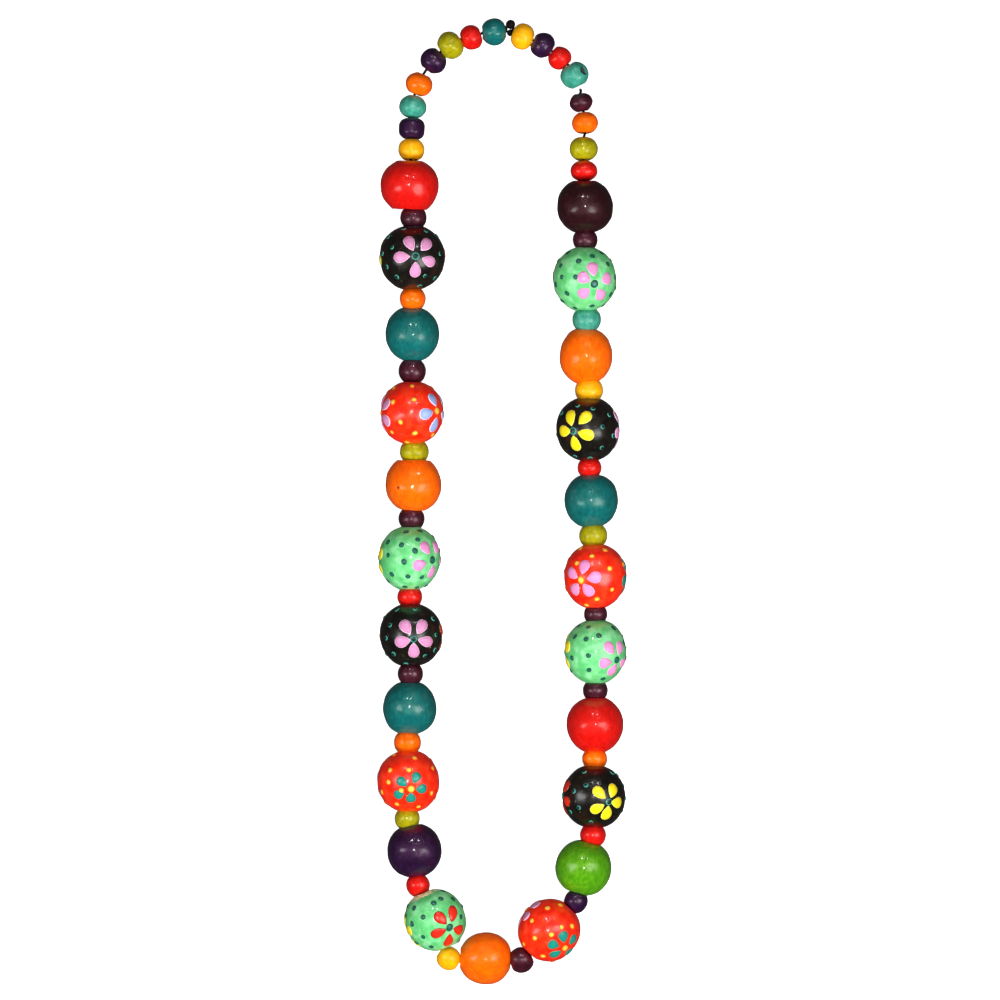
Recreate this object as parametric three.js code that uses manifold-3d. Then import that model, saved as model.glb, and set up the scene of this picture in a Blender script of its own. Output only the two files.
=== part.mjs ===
// A long necklace of turned wooden beads on thin black elastic, laid flat as one whole loop.
// Large beads, dyed or hand painted, alternate with small spacers, and small beads alone run behind the neck.
// Millimetres, +Z up. The beads lie on the plane z = 0, with the neck end of the loop towards +Y.

import * as THREE from "three";
import { mergeVertices } from "three/addons/utils/BufferGeometryUtils.js";
import Module from "manifold-3d";

const wasm = await Module();
wasm.setup();

// The cord, and the knot that closes it: two small turns of cord side by side.
const CORD_DIAMETER = 1.0;
const CORD_SIDES = 6;
const CORD_STEPS = 90;
const KNOT_TURNS = [
  { across: 2.8, aside: 0 },
  { across: 3.3, aside: 3.0 },
];
const KNOT_SIDES = 8;
const KNOT_CORD_END = 0.8;

// How the beads are turned: the drilled hole, the flat that the drill leaves round its mouth, and the outline,
// which is round at a fullness of 2 and squarer above that. Sides go round the bead, and rings from end to middle.
const LARGE_MAKE = { bore: 4.4, rim: 7.0, fullness: 2.1, sides: 16, rings: 3 };
const NECK_MAKE = { bore: 3.0, rim: 4.0, fullness: 2.5, sides: 12, rings: 2 };
const SPACER_MAKE = { rim: 4.0, fullness: 2.8, sides: 10, rings: 2 };

// A bead has a short straight band round its middle, on which it lies.
const BAND_SHARE = 0.2;

// How far from its middle a drilled bead guides the cord straight, as a share of its length.
const HOLE_GUIDED_SHARE = 0.4;

// Bare cord between two beads, where the table gives none.
const BEAD_GAP = 0.3;

// Where the string lies, seen from above: from the knot down the left side, round the bottom and up the right.
const ROUTE = [
  [2.5, 180.5], [-3.5, 181], [-12, 179], [-20, 176], [-26.5, 170], [-32.5, 160.5], [-34.7, 152],
  [-35.3, 135.5], [-36, 122], [-34.9, 94], [-35, 34.5], [-34.5, 6], [-36, -22], [-35.5, -51],
  [-36, -79.5], [-36.5, -107.5], [-34.1, -134.6], [-32.8, -147.5], [-25.7, -162], [-21, -176],
  [-7, -176], [7, -176.5], [17.8, -165], [27.7, -154], [31, -141], [34.6, -128.5], [35, -113.5],
  [35.4, -86], [35.6, -58], [35.5, -29], [34, 0], [32.6, 28], [31.6, 85.5], [31.6, 114], [31, 135.5],
  [31.5, 145.5], [30.1, 153.5], [27.5, 164], [21.8, 170.9], [15.3, 175.6], [8, 179],
];

// The beads in stringing order from the knot. Across and along the cord, then bare cord after the bead,
// then how far a taut string lifts it off the surface. What is left out is BEAD_GAP and no lift.
const STRINGING = [
  ["neck", "teal", 10.8, 8.4, 1.05],
  ["neck", "red", 9.7, 7.8, 0.55],
  ["neck", "olive", 11.0, 8.2, 0.85],
  ["neck", "purple", 10.3, 8.0, 2.55],
  ["neck", "orange", 10.6, 8.2, 1.15],
  ["neck", "turquoise", 10.8, 7.9, 0.65, 1.0],
  ["neck", "purple", 10.1, 7.6, 0.45, 2.4],
  ["neck", "yellow", 10.0, 7.6, 0.45, 4.2],
  ["plain", "red", 22.3, 18.8],
  ["spacer", "plum", 9.6, 5.9],
  ["painted", "black", 25.2, 24.3],
  ["spacer", "orange", 10.0, 6.6],
  ["plain", "teal", 20.8, 20.1],
  ["spacer", "plum", 10.6, 7.8],
  ["painted", "scarlet", 24.4, 23.6],
  ["spacer", "olive", 10.8, 5.9],
  ["plain", "orange", 21.6, 19.3],
  ["spacer", "plum", 10.0, 5.9],
  ["painted", "green", 23.8, 24.0],
  ["spacer", "red", 9.6, 5.1],
  ["painted", "black", 24.2, 23.6],
  ["spacer", "plum", 9.8, 5.9],
  ["plain", "teal", 20.8, 19.7],
  ["spacer", "orange", 10.4, 6.2],
  ["painted", "scarlet", 23.8, 23.2],
  ["spacer", "olive", 10.0, 4.7],
  ["plain", "purple", 21.2, 19.7],
  ["spacer", "red", 9.0, 6.0, 0.9],
  ["painted", "green", 23.4, 22.8, 0.9],
  ["spacer", "yellow", 9.4, 6.4, 2.1],
  ["plain", "orange", 20.0, 19.2, 1.1],
  ["spacer", "plum", 10.4, 6.4, 1.1],
  ["painted", "scarlet", 23.5, 23.2, 0.9],
  ["spacer", "purple", 9.5, 4.8, 1.2],
  ["plain", "green", 21.8, 19.8, 0.4],
  ["spacer", "red", 10.0, 5.4, 0.5],
  ["painted", "black", 24.2, 23.6],
  ["spacer", "orange", 9.6, 4.7],
  ["plain", "red", 21.8, 20.9],
  ["spacer", "plum", 9.6, 5.1],
  ["painted", "green", 23.8, 24.0],
  ["spacer", "plum", 9.0, 4.3],
  ["painted", "scarlet", 23.8, 24.3],
  ["spacer", "olive", 10.8, 6.6],
  ["plain", "teal", 21.0, 19.7],
  ["spacer", "red", 9.2, 5.1],
  ["painted", "black", 24.4, 24.0],
  ["spacer", "yellow", 10.4, 5.1],
  ["plain", "orange", 20.4, 20.9],
  ["spacer", "turquoise", 10.8, 6.6],
  ["painted", "green", 24.4, 24.0],
  ["spacer", "plum", 9.6, 5.5],
  ["plain", "purple", 21.6, 19.7, 0.4],
  ["neck", "red", 10.3, 7.0, 0.9, 4.0],
  ["neck", "olive", 11.0, 8.2, 2.05, 2.0],
  ["neck", "orange", 10.1, 7.8, 0.85, 0.8],
  ["neck", "plum", 9.2, 6.6, 2.8],
  ["neck", "turquoise", 11.0, 8.9, 0.55],
  ["neck", "red", 9.3, 7.7, 0.45],
  ["neck", "purple", 10.0, 8.1, 0.3],
  ["neck", "yellow", 10.2, 8.0, 3.05],
];

// Spacers are loose enough to rest a little to one side of the line, by their places in the order, in x and y.
const RESTS_ASIDE = {
  10: [0.8, 0],
  16: [0.4, 0],
  24: [-0.4, 0],
  26: [-1.2, 0],
  30: [0.2, -0.5],
  32: [0.4, -0.5],
  34: [0.5, -0.3],
  48: [0.6, 0],
  50: [0.3, 0],
};

// Dyes and paints, and how each kind of bead is finished.
const COLOURS = {
  red: "#e41414",
  orange: "#ff7400",
  yellow: "#f9b410",
  olive: "#a6a40c",
  teal: "#0a7a74",
  turquoise: "#3fb8a4",
  purple: "#2e0a36",
  plum: "#43122e",
  green: "#5ab41a",
  black: "#15120c",
  scarlet: "#ff2a0c",
};
const PALE_GREEN_PAINT = "#72e088";
const CORD_COLOUR = "#101010";
const GLOSS_PAINT = { roughness: 0.2, metalness: 0 };
const LACQUERED_DYE = { roughness: 0.3, metalness: 0 };
const WOVEN_ELASTIC = { roughness: 0.8, metalness: 0 };

const UP = new THREE.Vector3(0, 0, 1);

// Half of a bead's outline, from the flat round its hole down to the band round its middle.
function roundedHalf(across, along, rim, rings, fullness) {
  const radius = across / 2;
  const band = (along * BAND_SHARE) / 2;
  const power = 2 / fullness;
  const mouthAngle = Math.asin((rim / 2 / radius) ** (1 / power));
  const outline = [];
  for (let ring = 0; ring <= rings; ring += 1) {
    const angle = THREE.MathUtils.lerp(mouthAngle, Math.PI / 2, ring / rings);
    const reach = Math.max(0, Math.cos(angle) / Math.cos(mouthAngle)) ** power;
    const out = radius * Math.sin(angle) ** power;
    outline.push(new THREE.Vector2(out, band + (along / 2 - band) * reach));
  }
  return outline;
}

// The whole outer outline, lower end first. The sides are flats that touch the bead's true circle.
function outerOutline(across, along, { rim, rings, fullness, sides }) {
  const upper = roundedHalf(across, along, rim, rings, fullness);
  const lower = upper.map((point) => new THREE.Vector2(point.x, -point.y)).reverse();
  const outline = [...upper, ...lower].reverse();
  const toCorner = 1 / Math.cos(Math.PI / sides);
  return outline.map((point) => new THREE.Vector2(point.x * toCorner, point.y));
}

// A body of revolution about Y, turned so that one of its flats faces straight down.
function turned(outline, sides) {
  return new THREE.LatheGeometry(outline, sides, Math.PI / sides);
}

// A bead with its hole drilled through.
function drilledBead(across, along, make) {
  const outline = outerOutline(across, along, make);
  const lowerMouth = new THREE.Vector2(make.bore / 2, -along / 2);
  const upperMouth = new THREE.Vector2(make.bore / 2, along / 2);
  return turned([lowerMouth, ...outline, upperMouth, lowerMouth.clone()], make.sides);
}

// A spacer, solid where the cord fills its hole.
function spacerBead(across, along) {
  const outline = outerOutline(across, along, SPACER_MAKE);
  const lowerPole = new THREE.Vector2(0, -along / 2);
  const upperPole = new THREE.Vector2(0, along / 2);
  return turned([lowerPole, ...outline, upperPole], SPACER_MAKE.sides);
}

// Threads the beads along the route: each gets its centre, still at height 0, and its direction.
function threaded(route, rows) {
  const loop = route.getLength();
  let reached = KNOT_TURNS[0].across / 2 + BEAD_GAP;
  return rows.map(([kind, colour, across, along, bare = BEAD_GAP, lift = 0], index) => {
    const share = (reached + along / 2) / loop;
    reached += along + bare;
    const centre = route.getPointAt(share);
    const axis = route.getTangentAt(share);
    return { kind, colour, across, along, lift, centre, axis, number: index + 1 };
  });
}

// Sets the heights: a bead lies on its band, or is lifted, and a spacer hangs loose between its neighbours.
function settled(beads) {
  const around = (index, step) => beads[(index + step + beads.length) % beads.length];
  for (const bead of beads) {
    bead.centre.z = bead.across / 2 + bead.lift;
  }
  beads.forEach((bead, index) => {
    if (bead.kind === "spacer") {
      const [right, ahead] = RESTS_ASIDE[bead.number] ?? [0, 0];
      bead.centre.x += right;
      bead.centre.y += ahead;
      bead.centre.z = (around(index, -1).centre.z + around(index, 1).centre.z) / 2;
    }
  });
  beads.forEach((bead, index) => {
    if (bead.lift > 0) {
      const along = around(index, 1).centre.clone().sub(around(index, -1).centre);
      bead.axis = along.normalize();
    }
  });
  return beads;
}

// Puts a shape turned about its own Y onto the string, its own Z upwards.
function stringOn(object, bead) {
  const side = new THREE.Vector3().crossVectors(bead.axis, UP).normalize();
  const up = new THREE.Vector3().crossVectors(side, bead.axis);
  object.quaternion.setFromRotationMatrix(new THREE.Matrix4().makeBasis(side, bead.axis, up));
  object.position.copy(bead.centre);
  object.updateMatrix();
  return object;
}

// A closed geometry as a solid that can be joined to others.
function toSolid(geometry) {
  const plain = geometry.clone();
  plain.deleteAttribute("normal");
  plain.deleteAttribute("uv");
  const merged = mergeVertices(plain, 1e-4);
  return new wasm.Manifold(
    new wasm.Mesh({
      numProp: 3,
      vertProperties: new Float32Array(merged.attributes.position.array),
      triVerts: new Uint32Array(merged.index.array),
    }),
  );
}

function fromSolid(solid) {
  const mesh = solid.getMesh();
  const geometry = new THREE.BufferGeometry();
  geometry.setAttribute("position", new THREE.BufferAttribute(mesh.vertProperties, 3));
  geometry.setIndex(new THREE.BufferAttribute(mesh.triVerts, 1));
  geometry.computeVertexNormals();
  return geometry;
}

// The points that the cord goes through: straight along a drilled hole, or the middle of a spacer.
function cordPoints({ kind, centre, axis, along }) {
  if (kind === "spacer") {
    return [centre];
  }
  return [-1, 1].map((end) => centre.clone().addScaledVector(axis, end * along * HOLE_GUIDED_SHARE));
}

// The cord through every bead's hole, with both ends inside the knot.
function cordGeometry(beads, knot) {
  const start = knot.clone().add(new THREE.Vector3(-KNOT_CORD_END, 0, 0));
  const end = knot.clone().add(new THREE.Vector3(KNOT_CORD_END, 0, 0));
  const path = new THREE.CatmullRomCurve3(
    [start, ...beads.flatMap(cordPoints), end],
    false,
    "centripetal",
  );
  path.arcLengthDivisions = 4000;
  const section = new THREE.Shape(
    Array.from({ length: CORD_SIDES }, (_, corner) => {
      const angle = (2 * Math.PI * corner) / CORD_SIDES;
      const reach = CORD_DIAMETER / 2;
      return new THREE.Vector2(reach * Math.cos(angle), reach * Math.sin(angle));
    }),
  );
  return new THREE.ExtrudeGeometry(section, { steps: CORD_STEPS, extrudePath: path });
}

// The string as one body: the cord, the spacers that sit tight on it, and the knot.
function stringGeometry(beads, knot) {
  let string = toSolid(cordGeometry(beads, knot));
  for (const bead of beads.filter(({ kind }) => kind === "spacer")) {
    const placed = stringOn(new THREE.Object3D(), bead);
    string = string.add(toSolid(spacerBead(bead.across, bead.along).applyMatrix4(placed.matrix)));
  }
  for (const turn of KNOT_TURNS) {
    const ball = new THREE.SphereGeometry(turn.across / 2, KNOT_SIDES, KNOT_SIDES / 2 + 1);
    ball.translate(knot.x, knot.y + turn.aside, knot.z);
    string = string.add(toSolid(ball));
  }
  return fromSolid(string);
}

const route = new THREE.CatmullRomCurve3(
  ROUTE.map(([x, y]) => new THREE.Vector3(x, y, 0)),
  true,
  "centripetal",
);
route.arcLengthDivisions = 4000;

const beads = settled(threaded(route, STRINGING));
const knot = route.getPointAt(0);
knot.z = (beads[0].centre.z + beads[beads.length - 1].centre.z) / 2;

const necklace = new THREE.Group();

for (const bead of beads.filter(({ kind }) => kind !== "spacer")) {
  const make = bead.kind === "neck" ? NECK_MAKE : LARGE_MAKE;
  const geometry = drilledBead(bead.across, bead.along, make);
  const painted = bead.kind === "painted";
  const colour = painted && bead.colour === "green" ? PALE_GREEN_PAINT : COLOURS[bead.colour];
  const finish = painted ? GLOSS_PAINT : LACQUERED_DYE;
  const mesh = new THREE.Mesh(geometry, new THREE.MeshStandardMaterial({ color: colour, ...finish }));
  mesh.name = `${bead.kind}_bead_${String(bead.number).padStart(2, "0")}_${bead.colour}`;
  necklace.add(stringOn(mesh, bead));
}

const string = new THREE.Mesh(
  stringGeometry(beads, knot),
  new THREE.MeshStandardMaterial({ color: CORD_COLOUR, ...WOVEN_ELASTIC }),
);
string.name = "string_with_spacers";
necklace.add(string);

// The middle of the necklace's box comes over the origin.
const box = new THREE.Box3().setFromObject(necklace, true);
necklace.position.set(-(box.min.x + box.max.x) / 2, -(box.min.y + box.max.y) / 2, 0);

export default necklace;
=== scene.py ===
import collections
import math
import random
import re

import bpy
import numpy as np
from mathutils import Matrix, Vector
from mathutils.bvhtree import BVHTree


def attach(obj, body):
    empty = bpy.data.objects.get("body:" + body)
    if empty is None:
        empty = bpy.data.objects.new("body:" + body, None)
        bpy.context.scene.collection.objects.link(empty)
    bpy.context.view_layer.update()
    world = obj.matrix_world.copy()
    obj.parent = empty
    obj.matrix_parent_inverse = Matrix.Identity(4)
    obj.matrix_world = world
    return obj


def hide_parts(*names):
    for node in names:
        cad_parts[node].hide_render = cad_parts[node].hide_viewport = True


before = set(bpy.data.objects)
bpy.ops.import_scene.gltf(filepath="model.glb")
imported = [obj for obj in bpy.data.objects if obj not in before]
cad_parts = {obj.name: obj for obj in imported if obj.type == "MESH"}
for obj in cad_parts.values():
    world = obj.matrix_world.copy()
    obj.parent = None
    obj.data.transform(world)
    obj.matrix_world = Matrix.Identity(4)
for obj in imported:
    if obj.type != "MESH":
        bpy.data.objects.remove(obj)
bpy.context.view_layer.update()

# The view
# The necklace lies on a table and is seen from straight above, far enough off that its beads keep their
# sizes. A pixel of the picture is a fixed step at the height of the large beads' middles.
PIXEL = 0.000385
EYE = Vector((-0.000676, 0.000379, 12.012))
BEAD_MIDDLE = 0.012
PICTURE_SIDE = 1000

view = bpy.data.cameras.new("view from above")
view.sensor_width = 36
view.lens = view.sensor_width * (EYE.z - BEAD_MIDDLE) / (PICTURE_SIDE * PIXEL)
camera = bpy.data.objects.new("camera", view)
camera.location = EYE
bpy.context.collection.objects.link(camera)
bpy.context.scene.camera = camera
bpy.context.scene.view_settings.view_transform = "Standard"


def seen_at(pixel, height):
    """The point at that height which shows at that pixel, counted from the picture's top left corner."""
    reach = PIXEL * (EYE.z - height) / (EYE.z - BEAD_MIDDLE)
    across = (pixel[0] - PICTURE_SIDE / 2) * reach
    down = (pixel[1] - PICTURE_SIDE / 2) * reach
    return Vector((EYE.x + across, EYE.y - down, height))


# The beads as strung
# Sixty-one turned beads, numbered along the cord from the knot. Each large bead and each neck bead has a
# node, which gives its middle, the line of its hole and its two sizes. A spacer fills the room between its
# two neighbours, and the string's own node gives how far aside it rests and how thick it is.
Strung = collections.namedtuple("Strung", "centre axis across along")
FACETS = {"neck_bead": 12, "plain_bead": 16, "painted_bead": 16}
# Two facings that look opposite ways are told apart by this direction, which no bead's faces stand square to.
ASKEW = np.array([0.31, 0.83, 0.47])
SAME_FACING = 0.02


def measured(name):
    """A bead's place and sizes from its node, whose commonest facing is that of its drilled ends."""
    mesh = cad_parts[name].data
    corners = np.empty(len(mesh.vertices) * 3)
    mesh.vertices.foreach_get("co", corners)
    corners = np.unique(corners.reshape(-1, 3).round(6), axis=0)
    facings = np.empty(len(mesh.polygons) * 3)
    mesh.polygons.foreach_get("normal", facings)
    facings = facings.reshape(-1, 3)
    facings = facings * np.sign(facings @ ASKEW)[:, None]
    kinds, counts = np.unique(facings.round(2), axis=0, return_counts=True)
    common = kinds[counts.argmax()]
    axis = facings[np.abs(facings - common).max(axis=1) < SAME_FACING].mean(axis=0)
    axis = axis / np.linalg.norm(axis)
    centre = corners.mean(axis=0)
    up = (corners - centre) @ axis
    out = np.linalg.norm(corners - centre - np.outer(up, axis), axis=1)
    across = 2 * out.max() * math.cos(math.pi / FACETS[re.sub(r"_\d.*", "", name)])
    return Strung(Vector(centre), Vector(axis), across, up.max() - up.min())


node_of = {int(re.search(r"bead_(\d+)", name)[1]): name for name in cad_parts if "bead_" in name}
strung = {number: measured(node_of[number]) for number in sorted(node_of)}
numbers = sorted(strung)
for place, number in enumerate(numbers):
    bead = strung[number]
    following = strung[numbers[(place + 1) % len(numbers)]].centre
    before = strung[numbers[place - 1]].centre
    if bead.axis.dot(following - before) < 0:
        strung[number] = bead._replace(axis=-bead.axis)

# The two ends of a spacer sit in its neighbours' holes, by this much together.
NESTED = 0.0015
# Round the front the loop bends, so four spacers are whole balls that lie against the rims beside them.
# Each is moved by its (x, y) from where the string's node has it.
ROUND_SPACERS = {26: (0.0, 0.0), 30: (0.0001, 0.0008), 32: (-0.0004, 0.0007), 34: (-0.0004, 0.0004)}
ROUND_SPACER_SHARE = 0.92
ROUND_SPACER_LENGTH = 0.0087
SPACER_FACETS = 10
# A corner of the string's node is a spacer's own if it is this near the spacer's middle along the cord, and
# off the cord's line by more than the cord is and less than the other side of the loop is.
SPACER_REACH = 0.0036
SPACER_NEAREST = 0.0024
SPACER_FARTHEST = 0.0075
string_corners = np.array([vertex.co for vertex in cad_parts["string_with_spacers"].data.vertices])
for number in range(10, 53, 2):
    first, second = strung[number - 1], strung[number + 1]
    near = first.centre + first.axis * first.along / 2
    far = second.centre - second.axis * second.along / 2
    room = (far - near).length
    middle = (near + first.axis * room / 2 + far - second.axis * room / 2) / 2
    line = (first.axis + second.axis).normalized()
    offsets = string_corners - np.array(middle)
    up = offsets @ np.array(line)
    out = np.linalg.norm(offsets - np.outer(up, line), axis=1)
    own = (np.abs(up) < SPACER_REACH) & (out > SPACER_NEAREST) & (out < SPACER_FARTHEST)
    shell = np.unique(string_corners[own].round(6), axis=0)
    aside = Vector(shell.mean(axis=0)) - middle
    middle += aside - line * aside.dot(line)
    offsets = shell - np.array(middle)
    out = np.linalg.norm(offsets - np.outer(offsets @ np.array(line), line), axis=1)
    strung[number] = Strung(middle, line, 2 * out.max() * math.cos(math.pi / SPACER_FACETS), room + NESTED)
    if number in ROUND_SPACERS:
        middle += Vector((*ROUND_SPACERS[number], 0))
        strung[number] = Strung(middle, line, strung[number].across * ROUND_SPACER_SHARE, ROUND_SPACER_LENGTH)


# Turned beads
# Each bead is turned from a hardwood blank, drilled along the grain and tumbled smooth, so that it is a squat
# ball with flat drilled ends and no two are quite alike. One tree turns an outline about the hole.
def linear(colour):
    """A six-figure sRGB colour as linear red, green and blue with a full alpha."""
    parts = [int(colour[k:k + 2], 16) / 255 for k in (1, 3, 5)]
    return [c / 12.92 if c <= 0.04045 else ((c + 0.055) / 1.055) ** 2.4 for c in parts] + [1.0]


def add(tree, kind, feeds=None, stops=(), **settings):
    """Adds a node with its settings.

    feeds gives its inputs: a socket or a node is linked, anything else is set. stops gives a colour ramp's
    (position, hex colour) pairs.
    """
    made = tree.nodes.new(kind)
    for name, value in settings.items():
        setattr(made, name, value)
    elements = made.color_ramp.elements if stops else []
    while len(elements) < len(stops):
        elements.new(1.0)
    for element, (position, colour) in zip(elements, stops):
        element.position = position
        element.color = linear(colour)
    for key, value in (feeds or {}).items():
        named = [socket for socket in made.inputs if socket.enabled and socket.name == key]
        socket = made.inputs[key] if isinstance(key, int) else named[0]
        if isinstance(value, bpy.types.Node):
            value = next(output for output in value.outputs if output.enabled)
        if isinstance(value, bpy.types.NodeSocket):
            tree.links.new(value, socket)
        else:
            socket.default_value = value
    return made


def new_tree(name, inputs):
    """An empty geometry tree with those named inputs and one geometry output."""
    tree = bpy.data.node_groups.new(name, "GeometryNodeTree")
    for label, kind in inputs.items():
        tree.interface.new_socket(label, in_out="INPUT", socket_type="NodeSocket" + kind)
    tree.interface.new_socket("Geometry", in_out="OUTPUT", socket_type="NodeSocketGeometry")
    return tree


def made_by(tree, name, start, values):
    """A new object: the start mesh put through the tree with those input values, as one plain mesh."""
    source = bpy.data.objects.new(name + " source", start)
    bpy.context.collection.objects.link(source)
    modifier = source.modifiers.new("making", "NODES")
    modifier.node_group = tree
    keys = {item.name: item.identifier for item in tree.interface.items_tree if item.in_out == "INPUT"}
    for label, value in values.items():
        modifier[keys[label]] = value
    ready = bpy.context.evaluated_depsgraph_get()
    mesh = bpy.data.meshes.new_from_object(
        source.evaluated_get(ready), preserve_all_data_layers=True, depsgraph=ready,
    )
    source.modifiers.remove(modifier)
    bpy.data.objects.remove(source)
    piece = bpy.data.objects.new(name, mesh)
    mesh.name = name
    bpy.context.collection.objects.link(piece)
    return piece


lathe = new_tree("turn on a lathe", {
    "Outline": "Geometry", "Outline points": "Int", "Steps round": "Int", "Unevenness": "Float",
    "Dents": "Float", "Seed": "Float", "Blank": "Vector", "Finish": "Material",
})
given = add(lathe, "NodeGroupInput").outputs
# A flat sheet is rolled up: its x goes round the bead, and each of its rows is a point of the outline.
steps = add(lathe, "ShaderNodeMath", {0: given["Steps round"], 1: 1.0}, operation="ADD")
rows = add(lathe, "ShaderNodeMath", {0: given["Outline points"], 1: 1.0}, operation="ADD")
sheet = add(lathe, "GeometryNodeMeshGrid", {
    "Vertices X": steps, "Vertices Y": rows, "Size X": 1.0, "Size Y": 1.0,
})
flat = add(lathe, "ShaderNodeSeparateXYZ", {"Vector": add(lathe, "GeometryNodeInputPosition")})
turn = add(lathe, "ShaderNodeMath", {0: flat.outputs["X"], 1: 2 * math.pi}, operation="MULTIPLY")
row = flat.outputs["Y"]
count = given["Outline points"]
for operation, value in (("ADD", 0.5), ("MULTIPLY", count), ("ROUND", 0.0), ("MODULO", count)):
    row = add(lathe, "ShaderNodeMath", {0: row, 1: value}, operation=operation)
cut = add(lathe, "GeometryNodeSampleIndex", {
    "Geometry": given["Outline"], "Value": add(lathe, "GeometryNodeInputPosition"), "Index": row,
}, data_type="FLOAT_VECTOR")
cut = add(lathe, "ShaderNodeSeparateXYZ", {"Vector": cut})
over = add(lathe, "ShaderNodeMath", {0: turn}, operation="COSINE")
over = add(lathe, "ShaderNodeMath", {0: over, 1: cut.outputs["X"]}, operation="MULTIPLY")
back = add(lathe, "ShaderNodeMath", {0: turn}, operation="SINE")
back = add(lathe, "ShaderNodeMath", {0: back, 1: cut.outputs["X"]}, operation="MULTIPLY")
turned = add(lathe, "ShaderNodeCombineXYZ", {"X": over, "Y": back, "Z": cut.outputs["Z"]})
turned = add(lathe, "GeometryNodeSetPosition", {"Geometry": sheet, "Position": turned})
WELD = 0.000002
turned = add(lathe, "GeometryNodeMergeByDistance", {"Geometry": turned, "Distance": WELD})
grown = add(lathe, "ShaderNodeVectorMath", {
    0: add(lathe, "GeometryNodeInputPosition"), 1: given["Blank"],
}, operation="ADD")
turned = add(lathe, "GeometryNodeStoreNamedAttribute", {
    "Geometry": turned, "Name": "blank", "Value": grown,
}, data_type="FLOAT_VECTOR", domain="POINT")
# A bead swells out of round about every 11 mm, and has a dent about every 3 mm.
SWELLS_A_METRE = 90.0
DENTS_A_METRE = 330.0
for scale, depth in ((SWELLS_A_METRE, given["Unevenness"]), (DENTS_A_METRE, given["Dents"])):
    swell = add(lathe, "ShaderNodeTexNoise", {
        "W": given["Seed"], "Scale": scale, "Detail": 0.0,
    }, noise_dimensions="4D")
    for operation, value in (("SUBTRACT", 0.5), ("MULTIPLY", depth)):
        swell = add(lathe, "ShaderNodeMath", {0: swell, 1: value}, operation=operation)
    push = add(lathe, "ShaderNodeVectorMath", {
        0: add(lathe, "GeometryNodeInputNormal"), "Scale": swell,
    }, operation="SCALE")
    turned = add(lathe, "GeometryNodeSetPosition", {"Geometry": turned, "Offset": push})
turned = add(lathe, "GeometryNodeSetShadeSmooth", {"Geometry": turned})
turned = add(lathe, "GeometryNodeRealizeInstances", {"Geometry": turned})
turned = add(lathe, "GeometryNodeSetMaterial", {"Geometry": turned, "Material": given["Finish"]})
add(lathe, "NodeGroupOutput", {"Geometry": turned})


def outline(across, along, bore, rims, fuller, rows):
    """A mesh of half the bead's section, closed, with the radius as x and the place along the hole as z.

    rims gives how wide the flat is at the first and the last end. fuller gives how square the shoulder is
    there, where 2 is a plain ball.
    """
    radius = across / 2
    halves = []
    for rim, fullness in zip(rims, fuller):
        mouth = math.asin((rim / 2 / radius) ** (fullness / 2))
        half = []
        for k in range(rows + 1):
            angle = math.pi / 2 - (math.pi / 2 - mouth) * k / rows
            up = (math.cos(angle) / math.cos(mouth)) ** (2 / fullness)
            half.append((radius * math.sin(angle) ** (2 / fullness), along / 2 * up))
        # The edge of the hole is rounded over in three steps.
        soft = (rim - bore) / 6
        for k in range(4):
            bend = math.pi / 6 * k
            half.append((bore / 2 + soft * (1 - math.sin(bend)), along / 2 - soft * (1 - math.cos(bend))))
        halves.append(half)
    line = [(out, -up) for out, up in reversed(halves[0])] + halves[1][1:]
    line.append((bore / 2, 0.0))
    mesh = bpy.data.meshes.new("outline")
    count = len(line)
    mesh.from_pydata([(out, 0, up) for out, up in line], [(k, (k + 1) % count) for k in range(count)], [])
    return mesh


EASED_RIM_SHARE = 0.96
TOUCHING = 0.0002


def ball_rim(number, least):
    """How wide the flat ends of a ball are when it is cut to the bead's length, and no less than least."""
    bead = strung[number]
    return max(least, EASED_RIM_SHARE * math.sqrt(max(bead.across ** 2 - bead.along ** 2, 0)))


def turned_bead(name, number, bore, rims, fuller, rows, around, finish, uneven, dents):
    """A finished bead in its place on the cord. Its attribute blank is where each point lay in its wood."""
    bead = strung[number]
    line = outline(bead.across, bead.along, bore, rims, fuller, rows)
    luck = random.Random(number)
    piece = made_by(lathe, name, line, {
        "Outline points": len(line.vertices), "Steps round": around, "Unevenness": uneven, "Dents": dents,
        "Seed": float(number), "Blank": [luck.uniform(-0.5, 0.5) for _ in "xyz"], "Finish": finish,
    })
    place = bead.axis.to_track_quat("Z", "Y").to_matrix().to_4x4()
    place = place @ Matrix.Rotation(luck.uniform(0, 2 * math.pi), 4, "Z")
    place.translation = bead.centre
    piece.data.transform(place)
    # A bead whose solid stands on the table is let down onto it.
    if bead.centre.z - bead.across / 2 < TOUCHING:
        lowest = min(vertex.co.z for vertex in piece.data.vertices)
        piece.data.transform(Matrix.Translation((0, 0, -lowest)))
    return piece


# Dyed wood
# Maple or a like close-grained hardwood, soaked in dye and tumbled in clear lacquer. The dye takes unevenly
# along the grain, so the colour is mottled, and the pores break up the gloss, so each reflection is soft
# and speckled.

# Both are drawn a few times as coarse as in real wood, where they are too fine to show in the picture.
MOTTLE_MM = 1.3
PORE_MM = 0.45


def empty_material(name):
    """A new material with an empty tree."""
    material = bpy.data.materials.new(name)
    material.use_nodes = True
    material.node_tree.nodes.clear()
    return material


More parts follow.
